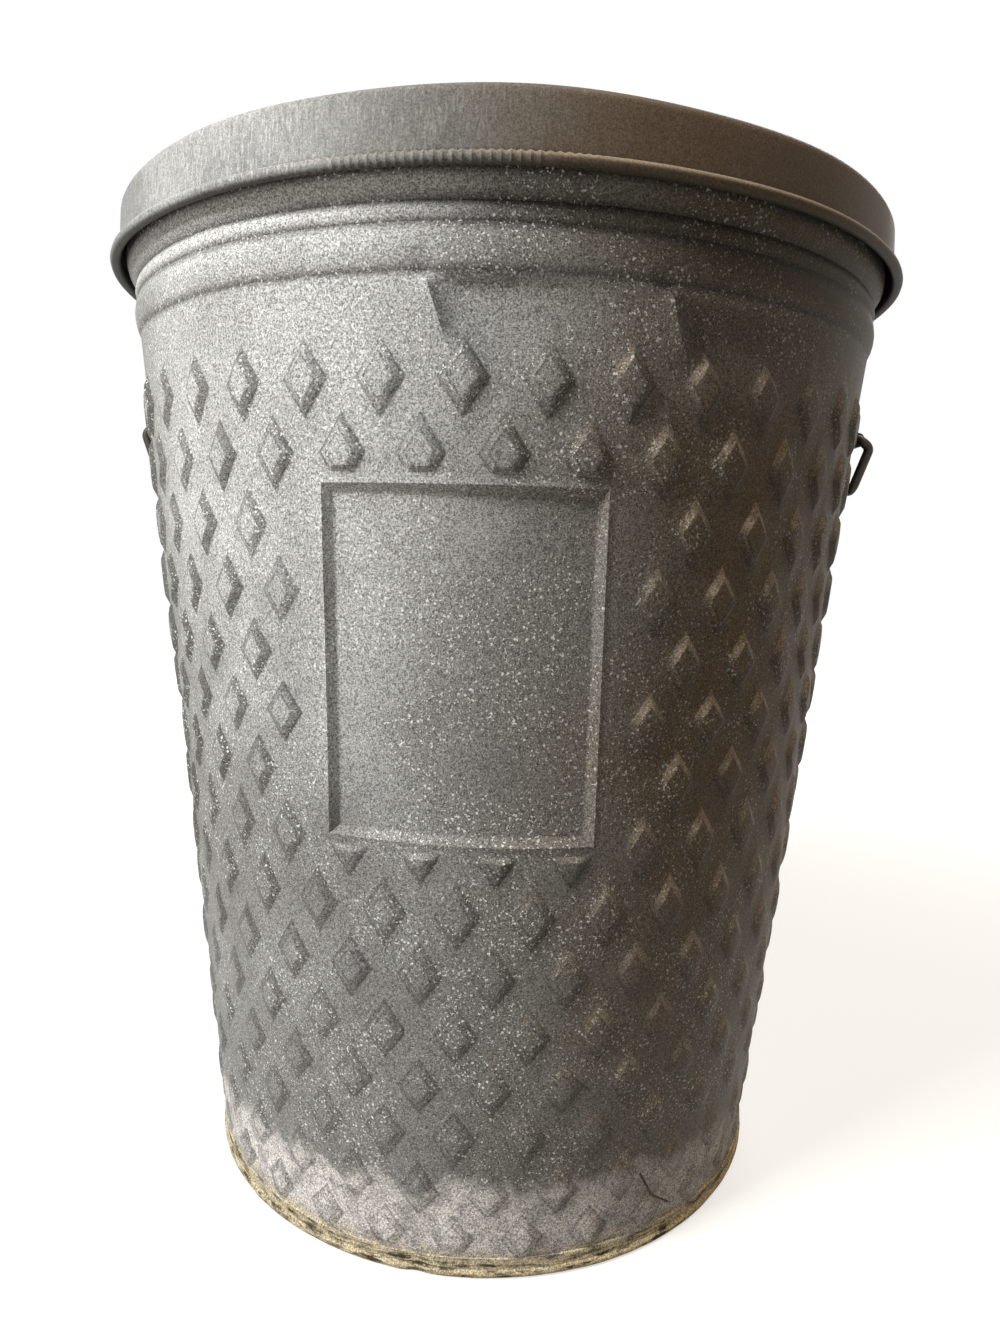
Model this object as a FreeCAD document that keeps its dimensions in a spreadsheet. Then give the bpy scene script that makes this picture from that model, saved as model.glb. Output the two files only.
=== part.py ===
import FreeCAD, Part
import math
import os
import re

import Sketcher

# Galvanized trash can: a tapered sheet-steel body with a pressed front panel, a clamped base hoop,
# two wire bails in riveted ears and a loose lid with a strap handle.
# Frame: Z up, origin on the floor at the can's axis, panel towards -Y, bails on +X and -X.

SIZES = {
    # Tapered wall of the body, outer radii
    "wall_base_radius": 184.6,
    "neck_radius": 230.0,
    "neck_height": 519.0,
    "body_sheet": 0.8,
    # Beads between the wall and the mouth
    "mouth_step": 1.0,
    "lower_bead_tall": 19.5,
    "lower_bead_proud": 2.2,
    "rib_tall": 8.5,
    "rib_proud": 1.3,
    "upper_bead_tall": 30.0,
    "upper_bead_proud": 6.0,
    "mouth_straight": 8.0,
    "rim_wire_radius": 2.4,
    "rim_play": 0.4,
    # Lock seam at the back
    "seam_width": 9.0,
    "seam_proud": 1.2,
    # Pressed panel in front
    "panel_width": 140.0,
    "panel_tall": 178.0,
    "panel_middle": 341.0,
    "panel_depth": 3.0,
    # Floor pan
    "pan_height": 14.0,
    "pan_sheet": 0.8,
    "pan_ledge": 35.8,
    "pan_dish_run": 8.0,
    "pan_dish_rise": 3.0,
    # Hoop folded round the lower edges of body and pan
    "hoop_sheet": 1.0,
    "hoop_web": 1.2,
    "hoop_tall": 12.5,
    "hoop_inner_tall": 9.0,
    "hoop_bead_tall": 5.5,
    "hoop_bead_proud": 1.6,
    "fold_play": 0.05,
    # Wire bails
    "bail_below_neck": 43.7,
    "bail_wire_radius": 2.9,
    "bail_span": 72.0,
    "bail_pin": 20.0,
    "bail_pin_gap": 0.5,
    "bail_crank_out": 6.4,
    "bail_crank_drop": 5.5,
    "bail_drop": 32.0,
    "bail_pin_bend": 4.4,
    "bail_elbow_bend": 4.4,
    "bail_grip_bend": 5.0,
    "grip_gap": 0.7,
    # Ears that hold the pins of the bails
    "ear_sheet": 1.6,
    "ear_width": 14.0,
    "ear_foot": 12.0,
    "ear_foot_stand": 1.0,
    "ear_back": 4.0,
    "ear_play": 0.1,
    "ear_side_gap": 0.6,
    # Rivets
    "rivet_radius": 2.0,
    "rivet_head_radius": 3.6,
    "rivet_head_tall": 1.5,
    "rivet_tail_radius": 3.2,
    "rivet_tail": 1.0,
    "rivet_play": 0.05,
    "hole_reach": 12.0,
    # Lid
    "lid_sheet": 0.8,
    "lid_rest_gap": 0.3,
    "lid_clear": 1.6,
    "lid_flare": 1.2,
    "lid_corner": 5.0,
    "lid_skirt_drop": 31.3,
    "lid_wire_radius": 1.7,
    "lid_ledge": 17.8,
    "lid_riser": 7.0,
    "lid_riser_run": 8.0,
    "lid_slope_rise": 12.0,
    "lid_plateau_radius": 95.0,
    # Strap handle on the lid
    "grip_sheet": 1.6,
    "grip_width": 26.0,
    "grip_half": 52.0,
    "grip_clear": 34.0,
    "grip_corner": 12.0,
    "grip_foot": 26.0,
    "strap_bend": 4.0,
}

FULL_TURN = 360
HALF_TURN = 180
QUARTER_TURN = "90 deg"
NO_LENGTH = 1e-9

doc = FreeCAD.newDocument("trash_can")
sheet = doc.addObject("Spreadsheet::Sheet", "dims")
for row, (alias, size) in enumerate(SIZES.items(), start=1):
    sheet.set(f"A{row}", alias)
    sheet.set(f"B{row}", str(size))
    sheet.setAlias(f"B{row}", alias)
doc.recompute()

pieces = {}


def bound(formula):
    # The formula with every size written as a cell of the sheet
    return re.sub(r"[a-z_]+", lambda word: "dims." + word[0] if word[0] in SIZES else word[0], formula)


def number(formula):
    value = sheet.evalExpression(bound(formula))
    return float(getattr(value, "Value", value))


def bind(thing, **formulas):
    for name, formula in formulas.items():
        thing.setExpression(name.replace("__", "."), bound(formula))
    return thing


# Sizes that follow from the sheet

RISE = "((neck_radius - wall_base_radius) / neck_height)"
WALL_ANGLE = f"atan({RISE})"
WALL_COS = f"(1 / sqrt(1 + {RISE} ^ 2))"
WALL_SIN = f"({RISE} / sqrt(1 + {RISE} ^ 2))"
MOUTH = "(neck_radius + mouth_step)"
RIB_FOOT = "(neck_height + lower_bead_tall)"
UPPER_FOOT = f"({RIB_FOOT} + rib_tall)"
UPPER_TOP = f"({UPPER_FOOT} + upper_bead_tall)"
CURL_HEIGHT = f"({UPPER_TOP} + mouth_straight)"
CURL_INNER = "(rim_wire_radius + rim_play)"
CURL_OUTER = f"({CURL_INNER} + body_sheet)"
CURL_MIDDLE = f"({MOUTH} - body_sheet + {CURL_OUTER})"
LID_TOP = f"({CURL_HEIGHT} + {CURL_OUTER} + lid_rest_gap + lid_sheet)"
LID_CROWN = f"({CURL_MIDDLE} + {CURL_OUTER} + lid_clear + lid_sheet)"
LID_SKIRT = f"({LID_CROWN} + lid_flare)"
LID_LEDGE = f"({LID_CROWN} - lid_ledge)"
LID_BEAD_HEIGHT = f"({LID_TOP} - lid_skirt_drop)"
LID_ROLL_INNER = "(lid_wire_radius + rim_play)"
LID_ROLL_OUTER = f"({LID_ROLL_INNER} + lid_sheet)"
LID_ROLL_MIDDLE = f"({LID_SKIRT} - lid_sheet + {LID_ROLL_OUTER})"
PLATEAU = f"({LID_TOP} + lid_riser + lid_slope_rise)"
BAIL_HEIGHT = "(neck_height - bail_below_neck)"
BAIL_STAND = "(bail_wire_radius + bail_pin_gap)"
EAR_HOLE = "(bail_wire_radius + ear_play)"
EAR_HUMP = f"({EAR_HOLE} + ear_sheet)"
EAR_END = f"({EAR_HUMP} + ear_foot)"
EAR_MIDDLE = "(bail_span / 2 - bail_pin_bend - ear_side_gap - ear_width / 2)"
EAR_RIVET = f"({EAR_HUMP} + ear_foot / 2)"


def wall(height, out="0"):
    # Outer radius of the tapered wall at a height, with an offset
    return f"(wall_base_radius + {RISE} * ({height}) + ({out}))"


def arc_radius(chord_square, proud):
    # Radius of a bead of that chord that stands proud of it
    return f"(({chord_square}) / (8 * {proud}) + {proud} / 2)"


# Document objects

def add(kind, name, **formulas):
    return bind(doc.addObject(kind, name), **formulas)


def new_body(name, **formulas):
    return add("PartDesign::Body", name, **formulas)


def sketch_on(body, role, name):
    sketch = body.newObject("Sketcher::SketchObject", name)
    plane = next(item for item in body.Origin.OriginFeatures if item.Role == role)
    sketch.AttachmentSupport = [(plane, "")]
    sketch.MapMode = "FlatFace"
    return sketch


def arc_between(start, end, radius, turn):
    # Arc of less than a half circle, turn 1 for counter-clockwise and -1 for clockwise
    chord = end - start
    side = FreeCAD.Vector(-chord.y, chord.x, 0).normalize()
    height = math.sqrt(max(radius ** 2 - (chord.Length / 2) ** 2, 0))
    centre = (start + end) * 0.5 + side * height * turn
    first, last = (start, end) if turn > 0 else (end, start)
    angles = [math.atan2(point.y - centre.y, point.x - centre.x) for point in (first, last)]
    return Part.ArcOfCircle(Part.Circle(centre, FreeCAD.Vector(0, 0, 1), radius), *angles)


def hold(sketch, edge, end, kind, formula):
    # Place one end of an edge along an axis of the sketch by a formula
    value = number(formula)
    if abs(value) < NO_LENGTH:
        axis = -2 if kind == "DistanceX" else -1
        sketch.addConstraint(Sketcher.Constraint("PointOnObject", edge, end, axis))
        return
    ends = (-1, 1, edge, end) if value > 0 else (edge, end, -1, 1)
    index = sketch.addConstraint(Sketcher.Constraint(kind, *ends, abs(value)))
    sketch.setExpression(f"Constraints[{index}]", bound(formula if value > 0 else f"-({formula})"))


def draw(sketch, corners):
    # Closed outline: (x, y) starts a straight edge, (x, y, radius, turn) starts an arc
    points = [FreeCAD.Vector(number(corner[0]), number(corner[1]), 0) for corner in corners]
    ends = []
    for index, corner in enumerate(corners):
        start, end = points[index], points[(index + 1) % len(points)]
        if len(corner) == 2:
            ends.append((sketch.addGeometry(Part.LineSegment(start, end)), 1, 2))
        else:
            edge = sketch.addGeometry(arc_between(start, end, number(corner[2]), corner[3]))
            ends.append((edge, 1, 2) if corner[3] > 0 else (edge, 2, 1))
    for (edge, _, head), (following, tail, _) in zip(ends, ends[1:] + ends[:1]):
        sketch.addConstraint(Sketcher.Constraint("Coincident", edge, head, following, tail))
    for (edge, tail, _), corner in zip(ends, corners):
        hold(sketch, edge, tail, "DistanceX", corner[0])
        hold(sketch, edge, tail, "DistanceY", corner[1])
        if len(corner) > 2:
            index = sketch.addConstraint(Sketcher.Constraint("Radius", edge, number(corner[2])))
            sketch.setExpression(f"Constraints[{index}]", bound(corner[2]))


def turned(name, corners, axis="V_Axis", **formulas):
    # A piece turned from an outline in its XZ plane
    body = new_body(name, **formulas)
    sketch = sketch_on(body, "XZ_Plane", name + "_outline")
    draw(sketch, corners)
    turn = body.newObject("PartDesign::Revolution", name + "_turn")
    turn.Profile = sketch
    turn.ReferenceAxis = (sketch, [axis])
    turn.Angle = FULL_TURN
    return body


def padded(name, corners, width, **formulas):
    # A piece of one outline in its XZ plane, as wide on both sides of it
    body = new_body(name, **formulas)
    sketch = sketch_on(body, "XZ_Plane", name + "_outline")
    draw(sketch, corners)
    pad = body.newObject("PartDesign::Pad", name + "_pad")
    pad.Profile = sketch
    pad.Midplane = True
    bind(pad, Length=width)
    return body


def join(kind, name, base, tool):
    result = doc.addObject(kind, name)
    result.Base = base
    result.Tool = tool
    return result


def group(name, links):
    result = doc.addObject("Part::Compound", name)
    result.Links = links
    return result


def wall_cone(name, out):
    # Solid cone inside the wall's outer face, or an offset from it
    cone = add("Part::Cone", name, Height="neck_height")
    return bind(cone, Radius1=wall("0", out), Radius2=wall("neck_height", out))


def keep(name, piece):
    piece.Label = name
    pieces[name] = piece
    return piece


# Places of the ears and their rivets on the +X side, in the plane that leans with the wall

def on_wall(along, up, out="0"):
    return {
        "Placement__Base__x": f"{wall(BAIL_HEIGHT)} + ({up}) * {WALL_SIN} + ({out}) * {WALL_COS}",
        "Placement__Base__y": along,
        "Placement__Base__z": f"{BAIL_HEIGHT} + ({up}) * {WALL_COS} - ({out}) * {WALL_SIN}",
    }


def lean(thing, angle):
    thing.Placement.Rotation = FreeCAD.Rotation(FreeCAD.Vector(0, 1, 0), 1)
    return bind(thing, Placement__Rotation__Angle=angle)


ENDS = {"front": -1, "rear": 1}
SIDES = {"right": 0, "left": HALF_TURN}


def about_axis(turn):
    return FreeCAD.Placement(FreeCAD.Vector(), FreeCAD.Rotation(FreeCAD.Vector(0, 0, 1), turn))


def rivet_holes():
    # Drills for all ear rivets, on both sides of the can
    drills = []
    for end, sign in ENDS.items():
        for level in (-1, 1):
            drill = add("Part::Cylinder", f"drill_{end}", Radius="rivet_radius + rivet_play")
            bind(drill, Height="2 * hole_reach")
            spot = on_wall(f"{sign} * {EAR_MIDDLE}", f"{level} * {EAR_RIVET}", "-hole_reach")
            drills.append(lean(bind(drill, **spot), f"{QUARTER_TURN} + {WALL_ANGLE}"))
    right = group("right_drills", drills)
    left = group("left_drills", [right])
    left.Placement = about_axis(HALF_TURN)
    return group("ear_drills", [right, left])


# Body shell: wall, neck beads and the curl round the rim wire

def shell_outline():
    lower_radius = arc_radius("lower_bead_tall ^ 2 + mouth_step ^ 2", "lower_bead_proud")
    rib_radius = arc_radius("rib_tall ^ 2", "rib_proud")
    upper_radius = arc_radius("upper_bead_tall ^ 2", "upper_bead_proud")
    inside = f"{MOUTH} - body_sheet"
    return [
        (wall("hoop_web"), "hoop_web"),
        ("neck_radius", "neck_height", lower_radius, 1),
        (MOUTH, RIB_FOOT, rib_radius, 1),
        (MOUTH, UPPER_FOOT, upper_radius, 1),
        (MOUTH, UPPER_TOP),
        (MOUTH, CURL_HEIGHT, CURL_INNER, -1),
        (CURL_MIDDLE, f"{CURL_HEIGHT} + {CURL_INNER}", CURL_INNER, -1),
        (f"{CURL_MIDDLE} + {CURL_INNER}", CURL_HEIGHT, CURL_INNER, -1),
        (CURL_MIDDLE, f"{CURL_HEIGHT} - {CURL_INNER}"),
        (CURL_MIDDLE, f"{CURL_HEIGHT} - {CURL_OUTER}", CURL_OUTER, 1),
        (f"{CURL_MIDDLE} + {CURL_OUTER}", CURL_HEIGHT, CURL_OUTER, 1),
        (CURL_MIDDLE, f"{CURL_HEIGHT} + {CURL_OUTER}", CURL_OUTER, 1),
        (inside, CURL_HEIGHT),
        (inside, UPPER_TOP, upper_radius, -1),
        (inside, UPPER_FOOT, rib_radius, -1),
        (inside, RIB_FOOT, lower_radius, -1),
        ("neck_radius - body_sheet", "neck_height"),
        (wall("hoop_web", "-body_sheet"), "hoop_web"),
    ]


def panel_box(name, inset):
    # Block through the front wall, inset on the panel's four sides
    box = add("Part::Box", name, Length=f"panel_width - 2 * {inset}", Height=f"panel_tall - 2 * {inset}")
    bind(box, Width="neck_radius / 2 + panel_depth", Placement__Base__x=f"{inset} - panel_width / 2")
    bind(box, Placement__Base__y="-(neck_radius + panel_depth)")
    return bind(box, Placement__Base__z=f"panel_middle - panel_tall / 2 + {inset}")


def panel_tray():
    # The pressed panel: a floor that follows the wall, and four sides of the sheet's thickness
    block = join("Part::Common", "tray_block", panel_box("tray_outside", "0"), wall_cone("tray_face", "0"))
    back = wall_cone("tray_back", "-(panel_depth + body_sheet)")
    floor = wall_cone("tray_floor", "-panel_depth")
    hollow = join("Part::Cut", "tray_hollow", panel_box("tray_inside", "body_sheet"), floor)
    return join("Part::Cut", "tray", join("Part::Cut", "tray_solid", block, back), hollow)


def lock_seam():
    # Flat folded seam up the back, sunk half a sheet into the wall
    box = add("Part::Box", "seam_box", Length="seam_width", Width="neck_radius / 2 + seam_proud")
    bind(box, Height="neck_height - hoop_tall - seam_proud", Placement__Base__x="-seam_width / 2")
    bind(box, Placement__Base__y="neck_radius / 2", Placement__Base__z="hoop_tall + seam_proud")
    outside = join("Part::Common", "seam_outside", box, wall_cone("seam_face", "seam_proud"))
    return join("Part::Cut", "seam", outside, wall_cone("seam_back", "-body_sheet / 2"))


def make_shell():
    wall_sheet = turned("shell_sheet", shell_outline())
    opened = join("Part::Cut", "shell_opened", wall_sheet, panel_box("panel_window", "0"))
    pressed = join("Part::Fuse", "shell_pressed", opened, panel_tray())
    seamed = join("Part::Fuse", "shell_seamed", pressed, lock_seam())
    keep("body_shell", join("Part::Cut", "body_shell", seamed, rivet_holes()))
    rim = add("Part::Torus", "rim_wire", Radius1=CURL_MIDDLE, Radius2="rim_wire_radius")
    keep("rim_wire", bind(rim, Placement__Base__z=CURL_HEIGHT))


# Floor pan and the hoop that clamps it to the body

def make_base():
    flange = "-(body_sheet + fold_play)"
    inner = "-(body_sheet + fold_play + pan_sheet)"
    pan_top = "(pan_height + pan_sheet)"
    dish = wall("pan_height", "-pan_ledge")
    dish_inside = wall("pan_height", "-(pan_ledge + pan_dish_run)")
    keep("bottom_pan", turned("bottom_pan", [
        (wall("hoop_web", flange), "hoop_web"),
        (wall(pan_top, flange), pan_top),
        (dish, pan_top),
        (dish_inside, f"{pan_top} + pan_dish_rise"),
        ("0", f"{pan_top} + pan_dish_rise"),
        ("0", "pan_height + pan_dish_rise"),
        (dish_inside, "pan_height + pan_dish_rise"),
        (dish, "pan_height"),
        (wall("pan_height", inner), "pan_height"),
        (wall("hoop_web", inner), "hoop_web"),
    ]))
    outside = "fold_play"
    face = "fold_play + hoop_sheet"
    inside = "-(body_sheet + 2 * fold_play + pan_sheet)"
    back = "-(body_sheet + 2 * fold_play + pan_sheet + hoop_sheet)"
    bead = arc_radius(f"hoop_bead_tall ^ 2 * (1 + {RISE} ^ 2)", "hoop_bead_proud")
    keep("base_hoop", turned("base_hoop", [
        (wall("0", back), "0"),
        (wall("0", face), "0", bead, 1),
        (wall("hoop_bead_tall", face), "hoop_bead_tall"),
        (wall("hoop_tall", face), "hoop_tall"),
        (wall("hoop_tall", outside), "hoop_tall"),
        (wall("hoop_web", outside), "hoop_web"),
        (wall("hoop_web", inside), "hoop_web"),
        (wall("hoop_inner_tall", inside), "hoop_inner_tall"),
        (wall("hoop_inner_tall", back), "hoop_inner_tall"),
    ]))


# Ears: saddles over the bail's pin, with a riveted foot above and below, hollowed to the wall

EAR_OUTLINE = [
    ("-ear_back", f"-{EAR_END}"),
    ("ear_foot_stand", f"-{EAR_END}"),
    ("ear_foot_stand", f"-{EAR_HUMP}"),
    (BAIL_STAND, f"-{EAR_HUMP}", EAR_HUMP, 1),
    (f"{BAIL_STAND} + {EAR_HUMP}", "0", EAR_HUMP, 1),
    (BAIL_STAND, EAR_HUMP),
    ("ear_foot_stand", EAR_HUMP),
    ("ear_foot_stand", EAR_END),
    ("-ear_back", EAR_END),
    ("-ear_back", EAR_HOLE),
    (BAIL_STAND, EAR_HOLE, EAR_HOLE, -1),
    (f"{BAIL_STAND} + {EAR_HOLE}", "0", EAR_HOLE, -1),
    (BAIL_STAND, f"-{EAR_HOLE}"),
    ("-ear_back", f"-{EAR_HOLE}"),
]


def make_ear(side, end):
    name = f"{side}_{end}_ear"
    along = f"{ENDS[end]} * {EAR_MIDDLE}"
    strap = lean(padded(name + "_strap", EAR_OUTLINE, "ear_width", **on_wall(along, "0")), WALL_ANGLE)
    fitted = join("Part::Cut", name + "_fitted", strap, wall_cone(name + "_seat", "0"))
    drills = []
    tail = f"(({EAR_MIDDLE} + rivet_tail_radius) ^ 2 / (2 * {wall(BAIL_HEIGHT)}) + body_sheet + fold_play)"
    dome = "((rivet_head_radius ^ 2 + rivet_head_tall ^ 2) / (2 * rivet_head_tall))"
    outline = [
        (f"-({tail} + rivet_tail)", "0"),
        ("ear_foot_stand + rivet_head_tall", "0", dome, 1),
        ("ear_foot_stand", "rivet_head_radius"),
        ("ear_foot_stand", "rivet_radius"),
        (f"-{tail}", "rivet_radius"),
        (f"-{tail}", "rivet_tail_radius"),
        (f"-({tail} + rivet_tail)", "rivet_tail_radius"),
    ]
    rivets = []
    for level in (-1, 1):
        spot = on_wall(along, f"{level} * {EAR_RIVET}")
        rivets.append(lean(turned(name + "_rivet", outline, "H_Axis", **spot), WALL_ANGLE))
        drill = add("Part::Cylinder", name + "_drill", Radius="rivet_radius + rivet_play")
        bind(drill, Height="2 * hole_reach", **on_wall(along, f"{level} * {EAR_RIVET}", "-hole_reach"))
        drills.append(lean(drill, f"{QUARTER_TURN} + {WALL_ANGLE}"))
    ear = join("Part::Cut", name, fitted, group(name + "_drills", drills))
    ear.Placement = about_axis(SIDES[side])
    keep(name, ear)
    pins = group(name + "_rivets", rivets)
    pins.Placement = about_axis(SIDES[side])
    keep(name + "_rivets", pins)


# Bails: one bent wire each, pins towards each other, legs cranked out and grip near the wall

def rounded_path(points, bends):
    edges = []
    last = points[0]
    for before, corner, after, radius in zip(points, points[1:], points[2:], bends):
        into = (corner - before).normalize()
        away = (after - corner).normalize()
        turn = into.getAngle(away)
        back = radius * math.tan(turn / 2)
        start, end = corner - into * back, corner + away * back
        inward = (away - into).normalize()
        middle = corner + inward * radius * (1 / math.cos(turn / 2) - 1)
        edges += [Part.LineSegment(last, start).toShape(), Part.Arc(start, middle, end).toShape()]
        last = end
    edges.append(Part.LineSegment(last, points[-1]).toShape())
    return Part.Wire(edges)


def bail_shape():
    half = number("bail_span / 2")
    pin_end = half - number("bail_pin")
    pivot_out = number(f"{wall(BAIL_HEIGHT)} + {BAIL_STAND} * {WALL_COS}")
    pivot_up = number(f"{BAIL_HEIGHT} - {BAIL_STAND} * {WALL_SIN}")
    elbow = (pivot_out + number("bail_crank_out"), pivot_up - number("bail_crank_drop"))
    grip_up = pivot_up - number("bail_drop")
    grip_out = number(wall(f"{grip_up}", "bail_wire_radius + grip_gap"))
    points = [
        FreeCAD.Vector(pivot_out, -pin_end, pivot_up),
        FreeCAD.Vector(pivot_out, -half, pivot_up),
        FreeCAD.Vector(elbow[0], -half, elbow[1]),
        FreeCAD.Vector(grip_out, -half, grip_up),
    ]
    points += [FreeCAD.Vector(point.x, -point.y, point.z) for point in reversed(points)]
    bends = [number(bend) for bend in ("bail_pin_bend", "bail_elbow_bend", "bail_grip_bend")]
    path = rounded_path(points, bends + bends[::-1])
    section = Part.Circle(points[0], points[1] - points[0], number("bail_wire_radius"))
    print(f"bail pivot {pivot_out:.3f} {pivot_up:.3f} grip {grip_out:.3f} {grip_up:.3f}")
    print(f"bail wire length {path.Length:.2f}")
    return path.makePipeShell([Part.Wire(section.toShape())], True, False)


def make_bails():
    for side, turn in SIDES.items():
        bail = doc.addObject("Part::Feature", f"{side}_bail")
        bail.Shape = bail_shape()
        bail.Placement = about_axis(turn)
        keep(f"{side}_bail", bail)


# Lid: raised plateau, sloping top, rim ledge, skirt and a bead rolled outwards round a wire

def lid_outline():
    bead = LID_BEAD_HEIGHT
    middle, inner, outer = LID_ROLL_MIDDLE, LID_ROLL_INNER, LID_ROLL_OUTER
    step = f"{LID_LEDGE} - lid_riser_run"
    return [
        ("0", f"{PLATEAU} - lid_sheet"),
        ("lid_plateau_radius", f"{PLATEAU} - lid_sheet"),
        (step, f"{LID_TOP} + lid_riser - lid_sheet"),
        (LID_LEDGE, f"{LID_TOP} - lid_sheet"),
        (f"{LID_CROWN} - lid_corner", f"{LID_TOP} - lid_sheet", "(lid_corner - lid_sheet)", -1),
        (f"{LID_CROWN} - lid_sheet", f"{LID_TOP} - lid_corner"),
        (f"{LID_SKIRT} - lid_sheet", bead, outer, 1),
        (middle, f"{bead} - {outer}", outer, 1),
        (f"{middle} + {outer}", bead, outer, 1),
        (middle, f"{bead} + {outer}"),
        (middle, f"{bead} + {inner}", inner, -1),
        (f"{middle} + {inner}", bead, inner, -1),
        (middle, f"{bead} - {inner}", inner, -1),
        (LID_SKIRT, bead),
        (LID_CROWN, f"{LID_TOP} - lid_corner", "lid_corner", 1),
        (f"{LID_CROWN} - lid_corner", LID_TOP),
        (LID_LEDGE, LID_TOP),
        (step, f"{LID_TOP} + lid_riser"),
        ("lid_plateau_radius", PLATEAU),
        ("0", PLATEAU),
    ]


def strap_half(side):
    # Outline of the strap handle on one side of the lid's middle, from its top to its foot and back
    top = f"({PLATEAU} + grip_clear + grip_sheet)"
    bend = "(strap_bend + grip_sheet)"
    foot = f"{side} * (grip_half + grip_foot)"
    knee = f"{side} * (grip_half + strap_bend)"
    return [
        (f"{side} * (grip_half - grip_corner)", f"{top} - grip_sheet", "(grip_corner - grip_sheet)", -1),
        (f"{side} * (grip_half - grip_sheet)", f"{top} - grip_corner"),
        (f"{side} * (grip_half - grip_sheet)", f"{PLATEAU} + {bend}", bend, 1),
        (knee, PLATEAU),
        (foot, PLATEAU),
        (foot, f"{PLATEAU} + grip_sheet"),
        (knee, f"{PLATEAU} + grip_sheet", "strap_bend", -1),
        (f"{side} * grip_half", f"{PLATEAU} + {bend}"),
        (f"{side} * grip_half", f"{top} - grip_corner", "grip_corner", 1),
        (f"{side} * (grip_half - grip_corner)", top),
    ]


def strap_outline():
    # The other side is passed the other way round, with each arc kept between its own two corners
    right = strap_half(1)
    mirrored = strap_half(-1)
    left = []
    for index in range(len(mirrored) - 1, -1, -1):
        arc = mirrored[index - 1][2:] if index else ()
        left.append(mirrored[index][:2] + arc)
    return right + left


def make_lid():
    spots = [(x, y) for x in (-1, 1) for y in (-1, 1)]
    foot_middle = "(grip_half + (grip_foot + strap_bend) / 2)"
    drills = []
    rivets = []
    dome = "((rivet_head_radius ^ 2 + rivet_head_tall ^ 2) / (2 * rivet_head_tall))"
    outline = [
        ("0", f"{PLATEAU} - lid_sheet - rivet_tail"),
        ("rivet_tail_radius", f"{PLATEAU} - lid_sheet - rivet_tail"),
        ("rivet_tail_radius", f"{PLATEAU} - lid_sheet"),
        ("rivet_radius", f"{PLATEAU} - lid_sheet"),
        ("rivet_radius", f"{PLATEAU} + grip_sheet"),
        ("rivet_head_radius", f"{PLATEAU} + grip_sheet", dome, 1),
        ("0", f"{PLATEAU} + grip_sheet + rivet_head_tall"),
    ]
    for x, y in spots:
        spot = {"Placement__Base__x": f"{x} * {foot_middle}", "Placement__Base__y": f"{y} * grip_width / 4"}
        rivets.append(turned("lid_rivet", outline, **spot))
        drill = add("Part::Cylinder", "lid_drill", Radius="rivet_radius + rivet_play", **spot)
        drills.append(bind(drill, Height="2 * hole_reach", Placement__Base__z=f"{PLATEAU} - hole_reach"))
    drill_set = group("lid_drills", drills)
    keep("lid_pan", join("Part::Cut", "lid_pan", turned("lid_sheet", lid_outline()), drill_set))
    strap = padded("lid_strap", strap_outline(), "grip_width")
    keep("lid_handle", join("Part::Cut", "lid_handle", strap, drill_set))
    keep("lid_handle_rivets", group("lid_handle_rivets", rivets))
    wire = add("Part::Torus", "lid_rim_wire", Radius1=LID_ROLL_MIDDLE, Radius2="lid_wire_radius")
    keep("lid_rim_wire", bind(wire, Placement__Base__z=LID_BEAD_HEIGHT))


make_shell()
make_base()
for side_name in SIDES:
    for end_name in ENDS:
        make_ear(side_name, end_name)
make_bails()
make_lid()
doc.recompute()

faults = [thing.Name for thing in doc.Objects if {"Invalid", "Error"} & set(thing.State)]
faults += [name for name, piece in pieces.items() if piece.Shape.isNull() or not piece.Shape.isValid()]
if faults:
    raise RuntimeError("not built: " + ", ".join(faults))

os.makedirs("parts", exist_ok=True)
for name, piece in pieces.items():
    piece.Shape.exportStep(os.path.join("parts", name + ".step"))
    box = piece.Shape.BoundBox
    print(f"{name}: {len(piece.Shape.Solids)} solids, volume {piece.Shape.Volume:.1f}, "
          f"z {box.ZMin:.2f} to {box.ZMax:.2f}, radius {max(box.XMax, box.YMax):.2f}")
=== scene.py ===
import math

import bpy
import numpy as np
from mathutils import Matrix, Vector


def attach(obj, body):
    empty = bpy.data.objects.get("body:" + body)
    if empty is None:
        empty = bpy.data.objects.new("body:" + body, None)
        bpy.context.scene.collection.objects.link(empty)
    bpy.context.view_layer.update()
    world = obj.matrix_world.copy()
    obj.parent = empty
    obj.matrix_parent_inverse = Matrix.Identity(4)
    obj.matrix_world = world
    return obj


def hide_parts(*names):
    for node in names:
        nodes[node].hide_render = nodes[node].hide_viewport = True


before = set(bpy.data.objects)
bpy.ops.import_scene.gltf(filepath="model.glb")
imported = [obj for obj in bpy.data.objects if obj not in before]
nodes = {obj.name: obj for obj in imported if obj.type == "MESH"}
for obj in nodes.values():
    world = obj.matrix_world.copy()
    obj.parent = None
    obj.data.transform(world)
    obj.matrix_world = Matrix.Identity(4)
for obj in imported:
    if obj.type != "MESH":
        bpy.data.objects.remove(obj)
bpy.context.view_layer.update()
tiny = 1e-5  # points closer than this are one point


# Picking and cutting, as by hand in edit mode

def clearPick():
    if bpy.context.mode != "OBJECT":
        bpy.ops.object.mode_set(mode="OBJECT")
    bpy.ops.object.select_all(action="DESELECT")


def points(piece):
    bpy.ops.object.mode_set(mode="OBJECT")
    flat = np.empty(len(piece.data.vertices) * 3, dtype=np.float32)
    piece.data.vertices.foreach_get("co", flat)
    return flat.reshape(-1, 3).astype(float)


def placePoints(piece, spots):
    bpy.ops.object.mode_set(mode="OBJECT")
    piece.data.vertices.foreach_set("co", spots.astype(np.float32).ravel())
    piece.data.update()


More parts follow.
